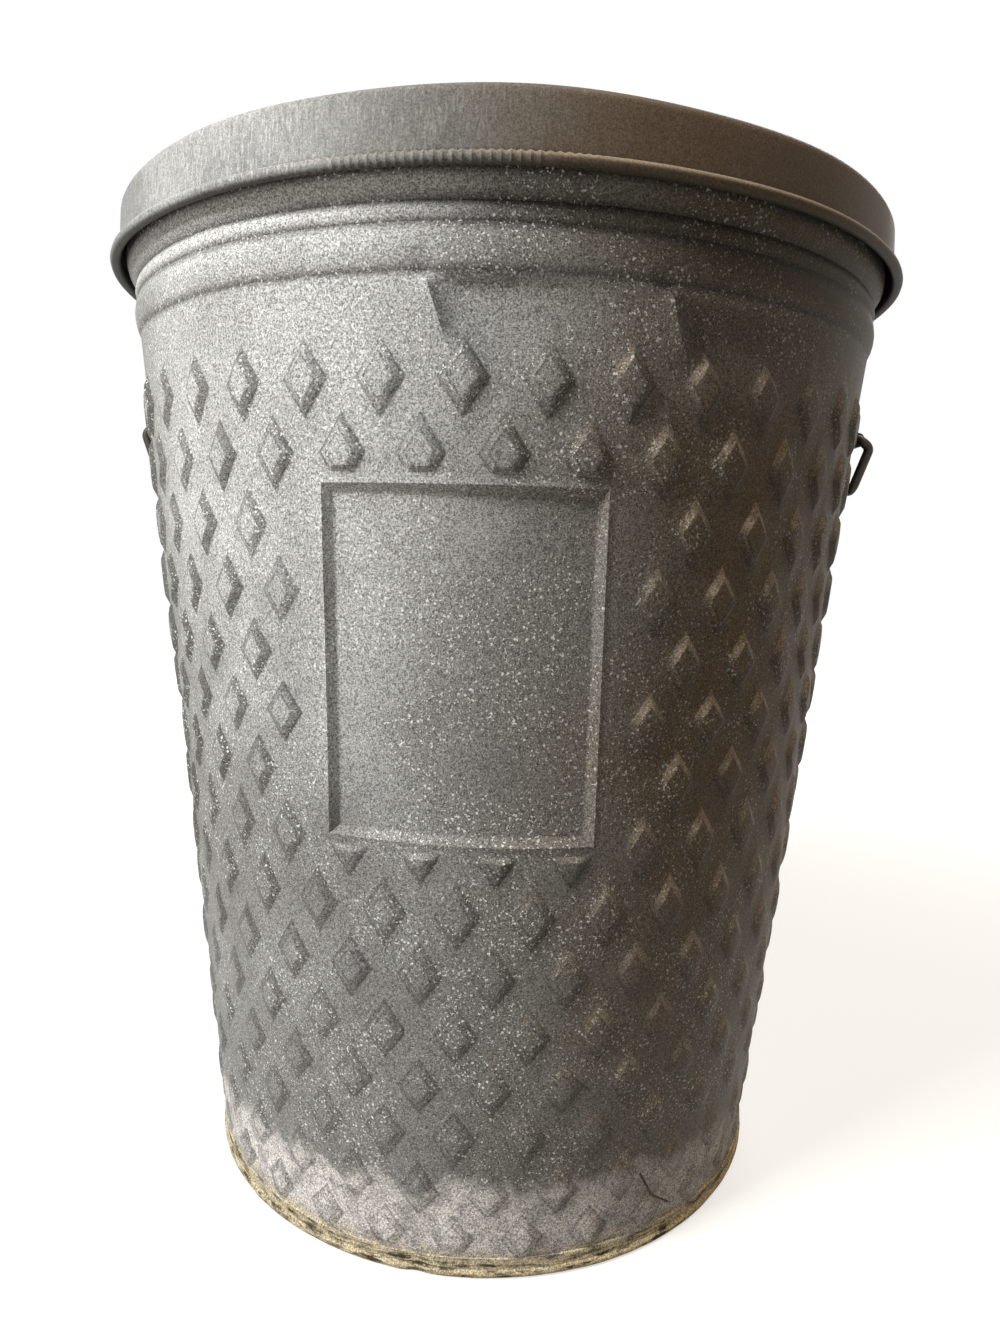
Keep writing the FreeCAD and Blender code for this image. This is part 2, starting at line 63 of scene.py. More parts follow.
def keepShare(piece, name, shares):  # one number at each point, for the finishes
    piece.data.attributes.new(name, "FLOAT", "POINT").data.foreach_set("value", shares.astype(np.float32))


def edgeEnds(piece):
    ends = np.empty(len(piece.data.edges) * 2, dtype=np.int32)
    piece.data.edges.foreach_get("vertices", ends)
    return ends.reshape(-1, 2)


def faceMiddles(piece):
    bpy.ops.object.mode_set(mode="OBJECT")
    flat = np.empty(len(piece.data.polygons) * 3, dtype=np.float32)
    piece.data.polygons.foreach_get("center", flat)
    return flat.reshape(-1, 3)


def openEdges(piece):  # edges with one face only
    bpy.ops.object.mode_set(mode="OBJECT")
    used = np.empty(len(piece.data.loops), dtype=np.int32)
    piece.data.loops.foreach_get("edge_index", used)
    return np.bincount(used, minlength=len(piece.data.edges)) == 1


def pick(piece, kind, chosen):
    bpy.ops.object.mode_set(mode="OBJECT")
    groups = {"VERT": piece.data.vertices, "EDGE": piece.data.edges, "FACE": piece.data.polygons}
    for group in groups.values():
        group.foreach_set("select", np.zeros(len(group), dtype=bool))
    groups[kind].foreach_set("select", np.asarray(chosen, dtype=bool))
    bpy.context.tool_settings.mesh_select_mode = [kind == name for name in groups]
    bpy.ops.object.mode_set(mode="EDIT")


def everyFace(piece):
    bpy.ops.object.mode_set(mode="OBJECT")
    return np.ones(len(piece.data.polygons), dtype=bool)


def cut(piece, chosen, spot, across, drop=False):  # drop removes what lies on the far side
    pick(piece, "FACE", chosen)
    bpy.ops.mesh.bisect(plane_co=spot, plane_no=across, clear_outer=drop, threshold=1e-7)


def mergePoints(piece, near=tiny):
    bpy.ops.object.mode_set(mode="OBJECT")
    pick(piece, "VERT", np.ones(len(piece.data.vertices), dtype=bool))
    bpy.ops.mesh.remove_doubles(threshold=near)
    bpy.ops.object.mode_set(mode="OBJECT")


def useModifier(piece, kind, **settings):
    modifier = piece.modifiers.new(kind.lower(), kind)
    for name, value in settings.items():
        setattr(modifier, name, value)
    bpy.ops.object.mode_set(mode="OBJECT")
    bpy.context.view_layer.objects.active = piece
    bpy.ops.object.modifier_apply(modifier=modifier.name)


def arrayOut(piece, count, step):
    useModifier(piece, "ARRAY", count=count, use_relative_offset=False, use_constant_offset=True,
                constant_offset_displace=step, use_merge_vertices=True, merge_threshold=tiny)


def newPiece(name):  # the primitive that was just added
    piece = bpy.context.object
    piece.name = name
    piece.data.name = name
    return piece


def smooth(piece, degrees):
    clearPick()
    piece.select_set(True)
    bpy.context.view_layer.objects.active = piece
    bpy.ops.object.shade_smooth_by_angle(angle=math.radians(degrees))


def softStep(low, high, value):
    share = np.clip((value - low) / (high - low), 0, 1)
    return share * share * (3 - 2 * share)


def drawProfile(name, outline, closed=False):  # one point pulled along an outline of radius and height
    clearPick()
    bpy.context.tool_settings.mesh_select_mode = (True, False, False)
    bpy.ops.mesh.primitive_plane_add(size=0.001, enter_editmode=True)
    piece = newPiece(name)
    bpy.ops.mesh.merge(type="CENTER")
    here = (0, 0)
    for index, (radius, height) in enumerate(outline):
        step = (radius - here[0], 0, height - here[1])
        if index == 0:
            bpy.ops.transform.translate(value=step)
        else:
            bpy.ops.mesh.extrude_region_move(TRANSFORM_OT_translate={"value": step})
        here = (radius, height)
    if closed:
        ends = np.zeros(len(outline), dtype=bool)
        ends[[0, -1]] = True
        pick(piece, "VERT", ends)
        bpy.ops.mesh.edge_face_add()
    return piece


def spinRound(piece, steps):  # a turned shape, its seam and pole closed
    bpy.ops.mesh.select_all(action="SELECT")
    bpy.ops.mesh.spin(steps=steps, angle=2 * math.pi, center=(0, 0, 0), axis=(0, 0, 1))
    mergePoints(piece)
    pick(piece, "FACE", everyFace(piece))
    bpy.ops.mesh.normals_make_consistent(inside=False)
    bpy.ops.object.mode_set(mode="OBJECT")


def arcRun(middle, radius, start, end, steps):  # points on an arc, in degrees, without its first point
    turns = np.radians(np.linspace(start, end, steps + 1)[1:])
    return [(middle[0] + radius * math.cos(t), middle[1] + radius * math.sin(t)) for t in turns]


def beadRun(start, end, proud, steps):  # points of a bead that stands proud of its chord, without its first
    run = []
    for share in np.linspace(0, 1, steps + 1)[1:]:
        swell = 4 * proud * share * (1 - share)
        run.append((start[0] + (end[0] - start[0]) * share + swell, start[1] + (end[1] - start[1]) * share))
    return run


# Can body: a flat sheet with pressed diamonds and a panel, rolled up, with a beaded neck and a curled rim

can = {
    "baseRadius": 0.1846,  # outside of the wall at the floor
    "neckRadius": 0.230,
    "neckHeight": 0.519,
    "bottom": 0.0012,
    "sheet": 0.0008,
    "mouthStep": 0.001,
    "lowerBead": (0.0195, 0.0022),  # tall, proud
    "rib": (0.0085, 0.0013),
    "upperBead": (0.030, 0.006),
    "mouthStraight": 0.008,
    "curlInside": 0.0028,
    "seamWidth": 0.009,
    "seamProud": 0.0012,
    "neckLine": 0.0025,  # the neck's lowest edge, under its first bead
    "valley": 0.0016,  # half height of the painted shade in the neck's valleys
    "sootAndShade": (0.5540, 0.558),  # heights between which the painted shadow under the lid grows
}
diamonds = {
    "pitch": 0.0381,
    "rowGap": 0.0321,
    "rows": (0.475, 0.442, 0.409, 0.3765, 0.345, 0.315, 0.284, 0.250, 0.215, 0.181, 0.1475, 0.1165, 0.0875,
             0.0525, 0.025),
    "top": (0.0072, 0.0104),  # half width and half height of the flat top
    "rings": (0.0046, 0.0036, 0.0007, 0.0, -0.0012),  # outlines, by their distance from the flat top
    "rise": (0, 0.10, 0.93, 1, 1),  # how far each outline is pressed
    "dirtAndShade": (0, 0.9, 0.2, 0.8, 0),  # how much dirt and painted shade lies on each outline
    "leftDirtAndShade": (0, 0.9, 0.8, 0.8, 0),  # and on the left of the can, with more painted shade
    "paintedGlint": (0, 1, 0.9, 0.3, 0),  # how much painted highlight lies on each outline where it faces up
    "worn": 0.85,  # how far the lowest rows are rounded
    "beside": 0.012,  # none this close to the sides of the panel
    "deep": 0.0030,  # relief of the top row
    "shallow": 0.0019,  # relief at the base
    "uneven": 0.14,  # share by which the diamonds differ in height
    "deepBetween": (0.05, 0.50),  # heights between which the relief grows
    "wornBetween": (0.34, 0.08),  # heights between which the wear grows
    "seamClear": (0.010, 0.014),  # they fade out towards the seam
    "handleClear": (0.046, 0.052),  # and round the handles
    "handleFoot": (0.424, 0.430),
    "seed": 11,
}
panel = {
    "width": 0.140,
    "tall": 0.178,
    "middle": 0.341,
    "apron": 0.0030,  # flat strip between the border and the sheet round it
    "margin": 0.0034,  # the diamonds end here
    "ramp": 0.0026,  # and have their full height this much further out
    "steps": ((0.0008, 0.0003), (0.0008, 0.0001), (0.0006, -0.0006), (0.0028, -0.0034), (0.0008, -0.0005),
              (0.0010, -0.0001)),  # border from its outer edge in: width, rise
    "cuts": 13,
}
creases = {
    "lines": ((-0.018, 0.34), (0.092, 0.30)),  # place at the neck, slant
    "deep": 0.0048,  # the sheet is pushed in on the right of each
    "long": 0.021,
    "lip": 0.0016,  # and stands up a little on the left
    "top": (0.518, 0.513),
    "bottom": (0.500, 0.480),
    "notches": ((-0.0195, 0.5200), (0.0910, 0.5185)),
    "notchDeep": 0.0020,
    "notchHalf": (0.005, 0.004),  # half width and half height
    "lipRun": (0.010, 0.006),  # the lip fades out this fast on the left and on the right
    "finer": 0.024,  # the sheet is finer from here up, over the top row of diamonds
    "reach": 0.03,  # the edges along a crease stay within this distance
}
dents = (  # along, height, depth, half width, half height
    (-0.105, 0.500, 0.0012, 0.020, 0.012),
    (0.020, 0.160, 0.0014, 0.060, 0.050),
    (0.115, 0.300, 0.0012, 0.030, 0.080),
    (0.230, 0.380, 0.0020, 0.050, 0.050),
    (-0.210, 0.300, 0.0016, 0.045, 0.070),
    (0.420, 0.240, 0.0030, 0.060, 0.060),
    (-0.470, 0.160, 0.0026, 0.070, 0.060),
    (0.620, 0.360, 0.0022, 0.050, 0.080),
)
slope = (can["neckRadius"] - can["baseRadius"]) / can["neckHeight"]


def wallRadius(height):
    return can["baseRadius"] + slope * np.minimum(height, can["neckHeight"])


evenRows = diamonds["rows"][0] - diamonds["rowGap"] * np.arange(-3, len(diamonds["rows"]) + 2)
lastRows = evenRows[-2:] - evenRows[-3] + diamonds["rows"][-1]
realRows = np.array([*evenRows[:3], *diamonds["rows"], *lastRows])
topInset = math.prod(diamonds["top"]) / math.hypot(*diamonds["top"])  # middle to edge of the flat top


def onRing(spots, out):  # points of a cell, moved to the outline that lies this far out from the flat top
    across = np.abs(spots[:, 0]) / diamonds["pitch"] * 2
    share = across / (across + np.abs(spots[:, 1]) / diamonds["rowGap"])
    wide, high = (half * (1 + out / topInset) for half in diamonds["top"])
    moved = np.stack([wide * share, high * (1 - share)], axis=1)
    return moved * np.sign(np.round(spots[:, :2], 7))


def latticeRows(name, topRow, pairs, rings):  # one diamond cell, copied into rows set half a pitch apart
    half = diamonds["pitch"] / 2
    tall = diamonds["rowGap"]
    columns = math.ceil(math.pi * can["neckRadius"] / diamonds["pitch"])
    inradius = half * tall / math.hypot(half, tall)
    clearPick()
    bpy.ops.mesh.primitive_circle_add(vertices=4, radius=1, fill_type="NGON", enter_editmode=True)
    cell = newPiece(name)
    bpy.ops.transform.resize(value=(half, tall, 1), center_override=(0, 0, 0))
    for ring in rings:
        bpy.ops.mesh.inset(thickness=inradius / (len(rings) + 1))
    spots = points(cell)
    shares = np.abs(spots[:, 0]) / half + np.abs(spots[:, 1]) / tall
    ends = shares[edgeEnds(cell)]
    pick(cell, "EDGE", np.abs(ends[:, 0] - ends[:, 1]) < 0.001)
    bpy.ops.mesh.subdivide(number_cuts=1)
    spots = points(cell)
    shares = np.abs(spots[:, 0]) / half + np.abs(spots[:, 1]) / tall
    for index, out in enumerate(rings):
        here = np.abs(shares - 1 + (index + 1) / (len(rings) + 1)) < 0.001
        spots[here, :2] = onRing(spots[here], out)
    placePoints(cell, spots)
    bpy.ops.object.mode_set(mode="EDIT")
    bpy.ops.mesh.select_all(action="SELECT")
    bpy.ops.transform.translate(value=(-columns * diamonds["pitch"], topRow, 0))
    arrayOut(cell, 2 * columns + 1, (diamonds["pitch"], 0, 0))
    arrayOut(cell, 2, (half, -tall, 0))
    if pairs > 1:
        arrayOut(cell, pairs, (0, -2 * tall, 0))
    return cell


def trimSheet(sheet):  # foot, neck line, and the two slanted edges that meet in the seam
    cut(sheet, everyFace(sheet), (0, can["bottom"], 0), (0, -1, 0), drop=True)
    cut(sheet, everyFace(sheet), (0, can["neckHeight"], 0), (0, 1, 0), drop=True)
    turn = math.pi * slope
    for side in (-1, 1):
        edge = side * math.pi * can["baseRadius"]
        cut(sheet, everyFace(sheet), (edge, 0, 0), (side, -turn, 0), drop=True)
        for back in (can["seamWidth"] / 2, can["seamWidth"] / 2 + can["seamProud"]):
            near = np.abs(np.abs(faceMiddles(sheet)[:, 0]) - abs(edge)) < 0.2
            cut(sheet, near, (edge - side * back, 0, 0), (side, -turn, 0))


def pressPanel(sheet):  # a window in the sheet, filled by a bordered panel
    wide = panel["width"] / 2
    tall = panel["tall"] / 2
    for grow in (panel["margin"], panel["margin"] + panel["ramp"]):
        for axis, reach, middle in ((0, wide, 0), (1, tall, panel["middle"])):
            for side in (-1, 1):
                middles = faceMiddles(sheet)
                near = np.abs(middles[:, 0]) < wide + diamonds["pitch"]
                near &= np.abs(middles[:, 1] - panel["middle"]) < tall + diamonds["pitch"]
                spot = [0, 0, 0]
                spot[axis] = middle + side * (reach + grow)
                across = [0, 0, 0]
                across[axis] = 1
                cut(sheet, near, spot, across)
    middles = faceMiddles(sheet)
    inside = np.abs(middles[:, 0]) < wide + panel["margin"]
    inside &= np.abs(middles[:, 1] - panel["middle"]) < tall + panel["margin"]
    pick(sheet, "FACE", inside)
    bpy.ops.mesh.delete(type="FACE")
    bpy.ops.mesh.primitive_plane_add(size=1, location=(0, panel["middle"], 0))
    span = (panel["width"] + 2 * panel["apron"], panel["tall"] + 2 * panel["apron"], 1)
    bpy.ops.transform.resize(value=span, center_override=(0, panel["middle"], 0))
    bpy.ops.mesh.inset(thickness=panel["apron"])
    for width, rise in panel["steps"]:
        bpy.ops.mesh.inset(thickness=width, depth=rise)
    spots = points(sheet)
    ends = spots[edgeEnds(sheet)]
    inPanel = np.abs(ends[:, :, 0]).max(axis=1) < span[0] / 2 + tiny
    inPanel &= np.abs(ends[:, :, 1] - panel["middle"]).max(axis=1) < span[1] / 2 + tiny
    runs = np.abs(ends[:, 0] - ends[:, 1])
    pick(sheet, "EDGE", inPanel & (np.minimum(runs[:, 0], runs[:, 1]) < tiny))
    bpy.ops.mesh.subdivide(number_cuts=panel["cuts"])
    spots = points(sheet)
    ends = spots[edgeEnds(sheet)]
    gap = np.abs(ends[:, :, 0]).max(axis=1) < wide + panel["margin"] + tiny
    gap &= np.abs(ends[:, :, 1] - panel["middle"]).max(axis=1) < tall + panel["margin"] + tiny
    pick(sheet, "EDGE", gap & openEdges(sheet))
    bpy.ops.mesh.fill(use_beauty=True)


def creaseSheet(sheet):  # a finer sheet under the neck, with edges along its lower line and the creases
    pick(sheet, "FACE", faceMiddles(sheet)[:, 1] > diamonds["rows"][0] + creases["finer"])
    bpy.ops.mesh.poke()
    bpy.ops.mesh.subdivide(number_cuts=2)
    for place, slant in creases["lines"]:
        middles = faceMiddles(sheet)
        near = np.abs(middles[:, 0] - place) < creases["reach"]
        near &= middles[:, 1] > creases["bottom"][1]
        cut(sheet, near, (place, can["neckHeight"], 0), (1, slant, 0))
    high = faceMiddles(sheet)[:, 1] > diamonds["rows"][0]
    cut(sheet, high, (0, can["neckHeight"] - can["neckLine"], 0), (0, 1, 0))


def neckOutline():
    mouth = can["mouthStep"]
    height = can["neckHeight"]
    run = [(0, height)]
    for tall, proud in (can["lowerBead"], can["rib"], can["upperBead"]):
        steps = max(4, round(tall / 0.0037))
        run += beadRun(run[-1], (mouth, height + tall), proud, steps)
        height += tall
    height += can["mouthStraight"]
    run.append((mouth, height))
    return run + arcRun((mouth + can["curlInside"], height), can["curlInside"], 180, -90, 8)


def pullNeck(sheet):
    spots = points(sheet)
    ends = spots[edgeEnds(sheet)]
    top = np.abs(ends[:, :, 1] - can["neckHeight"]).max(axis=1) < tiny
    pick(sheet, "EDGE", top & openEdges(sheet))
    run = neckOutline()
    for (out, height), (nextOut, nextHeight) in zip(run, run[1:]):
        step = (0, nextHeight - height, nextOut - out)
        bpy.ops.mesh.extrude_region_move(TRANSFORM_OT_translate={"value": step})


def diamondRise(along, height):
    even = np.interp(height, realRows[::-1], evenRows[::-1])
    level = (diamonds["rows"][0] - even) / diamonds["rowGap"]
    found = []
    for shift in (0, 1):  # rows on the centre line, and rows half a pitch off it
        row = 2 * np.round((level - shift) / 2) + shift
        column = np.round(along / diamonds["pitch"] - shift / 2) + shift / 2
        found.append((2 * np.abs(along / diamonds["pitch"] - column) + np.abs(level - row), row, column))
    first = found[0][0] <= found[1][0]
    row, column = (np.where(first, a, b) for a, b in zip(found[0][1:], found[1][1:]))
    wide, high = diamonds["top"]
    across = np.abs(along - column * diamonds["pitch"])
    up = np.abs(level - row) * diamonds["rowGap"]
    out = (across / wide + up / high - 1) * topInset
    oval = np.hypot(across / wide, up / high)
    shown = (row >= 0) & (row < len(diamonds["rows"]))
    middle = np.interp(diamonds["rows"][0] - row * diamonds["rowGap"], evenRows[::-1], realRows[::-1])
    beside = np.abs(column * diamonds["pitch"]) < panel["width"] / 2 + diamonds["beside"]
    shown = shown & ~(beside & (np.abs(middle - panel["middle"]) < panel["tall"] / 2))
    outside = np.abs(along) - panel["width"] / 2
    outside = np.maximum(outside, np.abs(height - panel["middle"]) - panel["tall"] / 2)
    shown = shown * np.clip((outside - panel["margin"]) / panel["ramp"], 0, 1)
    shown *= softStep(*diamonds["seamClear"], math.pi * wallRadius(height) - np.abs(along))
    fromHandle = np.abs(np.abs(along) - math.pi / 2 * wallRadius(height))
    bare = 1 - softStep(*diamonds["handleClear"], fromHandle)
    bare *= softStep(*diamonds["handleFoot"], height)
    shown *= 1 - bare
    draw = np.random.default_rng(diamonds["seed"])
    spread = 1 + diamonds["uneven"] * draw.uniform(-1, 0.6, size=(len(diamonds["rows"]) + 1, 101))
    shown *= spread[np.clip(row, 0, len(diamonds["rows"])).astype(int), (2 * column).astype(int) + 50]
    depth = diamonds["deep"] - diamonds["shallow"]
    depth = diamonds["shallow"] + depth * softStep(*diamonds["deepBetween"], height)
    rise = np.interp(out, diamonds["rings"][::-1], diamonds["rise"][::-1])
    worn = diamonds["worn"] * np.maximum(0.2, softStep(*diamonds["wornBetween"], height))
    rise += worn * (1 - softStep(0.45, 1.75, oval) - rise)
    # dirt and painted shade on the outlines, with more painted shade on the left of the can
    dirtAndShade = np.interp(out, diamonds["rings"][::-1], diamonds["dirtAndShade"][::-1])
    leftDirtAndShade = np.interp(out, diamonds["rings"][::-1], diamonds["leftDirtAndShade"][::-1])
    dirtAndShade += (leftDirtAndShade - dirtAndShade) * softStep(-0.3, -0.65, along / wallRadius(height))
    # a painted highlight on the upper outlines
    paintedGlint = np.interp(out, diamonds["rings"][::-1], diamonds["paintedGlint"][::-1])
    paintedGlint *= softStep(-0.1, 0.6, (row - level) * diamonds["rowGap"] / high)
    return shown * rise * depth, shown * dirtAndShade * (1 - 0.3 * worn), shown * paintedGlint, bare


def bumps(along, height, bare):  # creases, notches, dents and a slow wobble, as height over the wall
    over = np.zeros(len(along))
    fade = softStep(creases["top"][0], creases["top"][1], height)
    fade *= softStep(creases["bottom"][1], creases["bottom"][0], height)
    for place, slant in creases["lines"]:
        right = along - place - slant * (can["neckHeight"] - height)
        share = np.maximum(right, 0) / creases["long"]
        over -= fade * creases["deep"] * share * np.exp(1 - share)
        over += fade * creases["lip"] * np.exp(-np.abs(right) / np.where(right < 0, *creases["lipRun"]))
    for place, level in creases["notches"]:
        wide, tall = creases["notchHalf"]
        notch = np.exp(-((along - place) / wide) ** 2 - ((height - level) / tall) ** 2)
        over -= creases["notchDeep"] * notch
    for place, level, depth, wide, tall in dents:
        over -= depth * np.exp(-((along - place) / wide) ** 2 - ((height - level) / tall) ** 2)
    turn = along / wallRadius(height)
    wobble = 0.0006 * np.sin(3 * turn + 0.6) * np.sin(9 * height + 0.4)
    wobble += 0.0005 * np.sin(7 * turn + 2.1) * np.sin(17 * height + 1.3)
    wobble += 0.0003 * np.sin(13 * turn + 28 * height)
    over += wobble * (1 - softStep(0.525, 0.575, height)) * softStep(0.004, 0.03, height)
    return over * (1 - bare)


def makeBody():
    sheet = latticeRows("can_body", evenRows[3], (len(diamonds["rows"]) + 1) // 2, diamonds["rings"])
    plain = latticeRows("neck_sheet", evenRows[1], 1, ())
    clearPick()
    plain.select_set(True)
    sheet.select_set(True)
    bpy.context.view_layer.objects.active = sheet
    bpy.ops.object.join()
    mergePoints(sheet)
    spots = points(sheet)
    spots[:, 1] = np.interp(spots[:, 1], evenRows[::-1], realRows[::-1])
    placePoints(sheet, spots)
    trimSheet(sheet)
    pressPanel(sheet)
    creaseSheet(sheet)
    pullNeck(sheet)
    pick(sheet, "FACE", everyFace(sheet))
    bpy.ops.mesh.normals_make_consistent(inside=False)
    bpy.ops.object.mode_set(mode="OBJECT")
    normals = np.array([face.normal.z * face.area for face in sheet.data.polygons])
    if normals.sum() < 0:
        bpy.ops.object.mode_set(mode="EDIT")
        bpy.ops.mesh.flip_normals()
    along, height, out = points(sheet).T
    rise, dirtAndShade, paintedGlint, bare = diamondRise(along, height)
    onNeck = height > can["neckHeight"] - 0.003
    rise = np.where(onNeck, 0, rise)
    # painted shade in the neck's valleys and a painted shadow in the gap under the lid
    valleys = can["neckHeight"] + np.cumsum([0, can["lowerBead"][0], can["rib"][0], can["upperBead"][0]])
    inValley = np.exp(-((height[:, None] - valleys) / can["valley"]) ** 2).max(axis=1)
    dirtAndShade = np.where(onNeck, np.maximum(inValley, 1.3 * softStep(*can["sootAndShade"], height)), dirtAndShade)
    seam = math.pi * wallRadius(height) - np.abs(along)
    neck = can["neckHeight"]
    fold = (can["seamWidth"] / 2 + can["seamProud"] - seam) / can["seamProud"]
    seamRise = can["seamProud"] * np.clip(fold, 0, 1)
    seamRise *= softStep(neck, neck - 0.004, height) * softStep(0.013, 0.016, height)
    radius = wallRadius(height) + out + rise + seamRise + bumps(along, height, bare)
    turn = along / wallRadius(height)
    placePoints(sheet, np.stack([radius * np.sin(turn), -radius * np.cos(turn), height], axis=1))
    keepShare(sheet, "dirtAndShade", dirtAndShade)
    keepShare(sheet, "paintedGlint", np.where(onNeck, 0, paintedGlint))
    mergePoints(sheet, 2 * tiny)
    useModifier(sheet, "SOLIDIFY", thickness=can["sheet"], offset=-1)
    smooth(sheet, 28)
    return sheet


body = makeBody()
print("body", len(body.data.polygons), "faces")


# Lid: a stepped dome with a flared skirt, rolled over a wire at its edge

lid = {
    "plateauRadius": 0.095,
    "plateau": 0.6087,
    "stepRadius": 0.214,
    "stepHeight": 0.5967,
    "ledgeRadius": 0.222,
    "ledge": 0.5897,
    "crownRadius": 0.2398,
    "corner": 0.005,
    "skirtRadius": 0.241,
    "bead": 0.5584,
    "rollInside": 0.0021,
    "sheet": 0.0008,
    "ripples": 386,
    "ripple": 0.00036,
    "crimped": (0.945, 0.985),  # the crimp is worn away from the front
}


def makeLid():
    outline = [(0, lid["plateau"]), (0.05, lid["plateau"]), (lid["plateauRadius"], lid["plateau"]),
               (0.135, 0.6048), (0.175, 0.6007), (lid["stepRadius"] - 0.002, lid["stepHeight"] + 0.0002),
               (lid["stepRadius"], lid["stepHeight"] - 0.0004), (0.218, 0.5932),
               (lid["ledgeRadius"] - 0.001, lid["ledge"] + 0.0007), (lid["ledgeRadius"] + 0.001, lid["ledge"])]
    crown = (lid["crownRadius"] - lid["corner"], lid["ledge"] - lid["corner"])
    outline.append((crown[0], lid["ledge"]))
    outline += arcRun(crown, lid["corner"], 90, 0, 5)
    low = (lid["skirtRadius"], lid["bead"])
    high = outline[-1]
    for share in (0.3, 0.6, 0.81, 0.89, 1):
        outline.append((high[0] + (low[0] - high[0]) * share, high[1] + (low[1] - high[1]) * share))
    outline += arcRun((low[0] + lid["rollInside"], low[1]), lid["rollInside"], 180, 450, 9)
    piece = drawProfile("lid_cover", outline)
    spinRound(piece, 2 * lid["ripples"])
    x, y, z = points(piece).T
    radius = np.hypot(x, y)
    turn = np.arctan2(x, -y)
    rollMiddle = lid["skirtRadius"] + lid["rollInside"]
    onRoll = softStep(lid["skirtRadius"] - 0.0002, lid["skirtRadius"] + 0.0004, radius)
    onRoll *= softStep(lid["bead"] + 0.004, lid["bead"] + 0.0022, z)
    strength = softStep(*lid["crimped"], np.cos(turn + 0.05))
    wave = lid["ripple"] * strength * np.cos(lid["ripples"] * turn) * onRoll
    away = np.stack([radius - rollMiddle, z - lid["bead"]], axis=1)
    away /= np.maximum(np.linalg.norm(away, axis=1), tiny)[:, None]
    skirt = softStep(lid["ledgeRadius"], lid["crownRadius"], radius)
    sway = 0.0007 * np.sin(2 * turn + 0.5) + 0.0004 * np.sin(5 * turn + 1.9) + 0.00025 * np.sin(11 * turn)
    lift = 0.0006 * np.sin(3 * turn + 2.2) + 0.0004 * np.sin(8 * turn + 0.7)
    grown = radius + away[:, 0] * wave + sway * skirt
    z = z + away[:, 1] * wave + lift * skirt * softStep(lid["bead"], lid["ledge"], z)
    z += 0.0012 * np.sin(2 * turn + 1) * np.sin(math.pi * np.clip(radius / lid["stepRadius"], 0, 1)) ** 2
    placePoints(piece, np.stack([grown * np.sin(turn), -grown * np.cos(turn), z], axis=1))
    # painted shade: a dark line on the skirt just over the roll, and the roll's underside darker
    onSkirt = np.abs(radius - lid["skirtRadius"]) < 0.0012
    dirtAndShade = softStep(lid["bead"] + 0.0048, lid["bead"] + 0.0030, z) * onSkirt
    dirtAndShade = np.maximum(dirtAndShade, softStep(lid["bead"] - 0.0008, lid["bead"] - 0.0022, z))
    keepShare(piece, "dirtAndShade", dirtAndShade)
    # a painted highlight along the top of the roll
    onTop = softStep(lid["bead"] + 0.0004, lid["bead"] + 0.0010, z) * (radius > lid["skirtRadius"] + 0.0008)
    keepShare(piece, "paintedGlint", onTop)
    useModifier(piece, "SOLIDIFY", thickness=lid["sheet"], offset=-1)
    smooth(piece, 38)
    return piece


cover = makeLid()
print("lid", len(cover.data.polygons), "faces")


# Base hoop: folded round the foot, beaten and rusty

hoop = {
    "face": 0.00105,  # outside of the hoop, out from the wall
    "outside": 0.00005,
    "inside": -0.0017,
    "back": -0.0027,
    "tall": 0.0125,
    "innerTall": 0.009,
    "web": 0.0012,
    "beadTall": 0.0055,
    "beadProud": 0.0016,
    "steps": 360,
}


def makeHoop():
    def at(out, height):
        return (float(wallRadius(height)) + hoop[out], height)

    outline = [at("back", 0), at("face", 0)]
    outline += beadRun(at("face", 0), at("face", hoop["beadTall"]), hoop["beadProud"], 5)
    outline += [at("face", 0.0078), at("face", 0.0102), at("face", hoop["tall"] - 0.0004)]
    outline += [(at("face", hoop["tall"])[0] - 0.0004, hoop["tall"]), at("outside", hoop["tall"])]
    outline += [at("outside", hoop["web"]), at("inside", hoop["web"])]
    outline += [at("inside", hoop["innerTall"]), at("back", hoop["innerTall"])]
    piece = drawProfile("base_band", outline, closed=True)
    spinRound(piece, hoop["steps"])
    x, y, z = points(piece).T
    radius = np.hypot(x, y)
    turn = np.arctan2(x, -y)
    draw = np.random.default_rng(5)
    rough = np.zeros(len(x))
    ragged = np.zeros(len(x))
    for waves in (5, 9, 17, 31, 53, 77):
        rough += draw.uniform(0.4, 1) / math.sqrt(waves) * np.sin(waves * turn + draw.uniform(0, 6) + 300 * z)
        ragged += draw.uniform(0.4, 1) / math.sqrt(waves) * np.sin(waves * turn + draw.uniform(0, 6))
    outer = softStep(float(wallRadius(0)) + 0.0002, float(wallRadius(0)) + 0.0009, radius - slope * z)
    grown = radius + 0.00045 * rough * outer
    grown -= 0.0012 * outer * np.exp(-((turn + 0.11) / 0.03) ** 2)
    z = z + 0.0009 * ragged * outer * softStep(0.009, 0.0125, z)
    placePoints(piece, np.stack([grown * np.sin(turn), -grown * np.cos(turn), z], axis=1))
    smooth(piece, 40)
    return piece


band = makeHoop()
print("hoop", len(band.data.polygons), "faces")


# Finishes: sockets that can be added and multiplied, and one way to make any other node

class Wire:
    def __init__(self, paint, socket):
        self.paint = paint
        self.socket = socket

    def __add__(self, other):
        return self.paint.maths("ADD", self, other)

    def __sub__(self, other):
        return self.paint.maths("SUBTRACT", self, other)

    def __rsub__(self, other):
        return self.paint.maths("SUBTRACT", other, self)

    def __mul__(self, other):
        return self.paint.maths("MULTIPLY", self, other)

    def __truediv__(self, other):
        return self.paint.maths("DIVIDE", self, other)

    def __rtruediv__(self, other):
        return self.paint.maths("DIVIDE", other, self)

    __radd__ = __add__
    __rmul__ = __mul__


